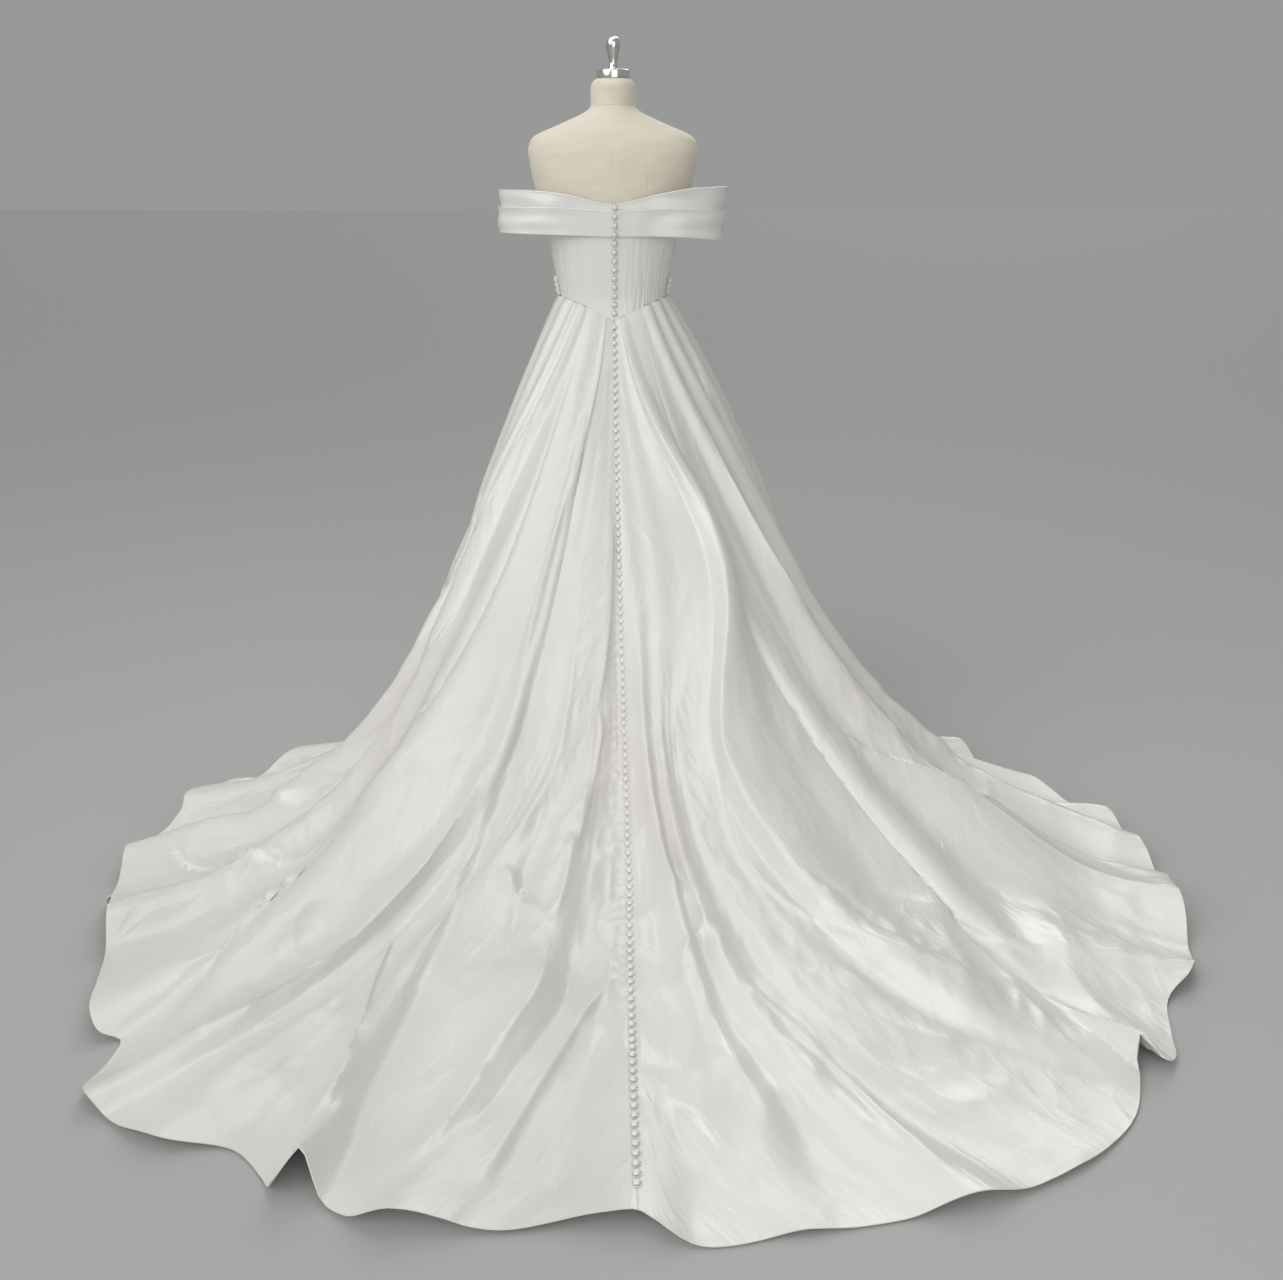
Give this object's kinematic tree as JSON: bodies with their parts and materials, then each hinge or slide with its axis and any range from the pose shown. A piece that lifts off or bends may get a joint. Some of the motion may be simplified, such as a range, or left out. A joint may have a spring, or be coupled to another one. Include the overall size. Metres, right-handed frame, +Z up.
{
  "type": "wedding dress on a dress form",
  "caption": "Off-the-shoulder satin wedding gown with a pleated skirt and long train, buttoned down the centre back, standing on a limbless dress form.",
  "frame": {"origin": "on the floor, at the centre of the underside of the form's round base, below its pole", "axes": "+Z up; the dress faces -Y and its train runs to +Y; the wearer's left is +X"},
  "size_m": [2.1064, 2.4219, 1.6426],
  "materials": {
    "satin": "ivory-white duchess satin, soft sheen",
    "pearl": "pearls and beads sewn on net",
    "linen": "natural linen stretched over the form, matt",
    "nickel": "polished nickel plate",
    "enamel": "off-white enamel on steel"
  },
  "bodies": {
    "root": {"bodice_back_left": "satin", "bodice_back_right": "satin", "bodice_side_left": "satin", "bodice_side_right": "satin", "bodice_side_front_left": "satin", "bodice_side_front_right": "satin", "bodice_front": "satin", "band_upper_left": "satin", "band_upper_right": "satin", "band_lower_left": "satin", "band_lower_right": "satin", "skirt_back_left": "satin", "skirt_back_right": "satin", "skirt_side_left": "satin", "skirt_side_right": "satin", "skirt_front": "satin", "waist_trim": "pearl", "button_01": "satin", "button_02": "satin", "button_03": "satin", "button_04": "satin", "button_05": "satin", "button_06": "satin", "button_07": "satin", "button_08": "satin", "button_09": "satin", "button_10": "satin", "button_11": "satin", "button_12": "satin", "button_13": "satin", "skirt_buttons": "satin", "form_torso": "linen", "form_neck_cap": "nickel", "form_finial": "nickel", "form_pole": "nickel", "form_base": "enamel"}
  },
  "joints": []
}
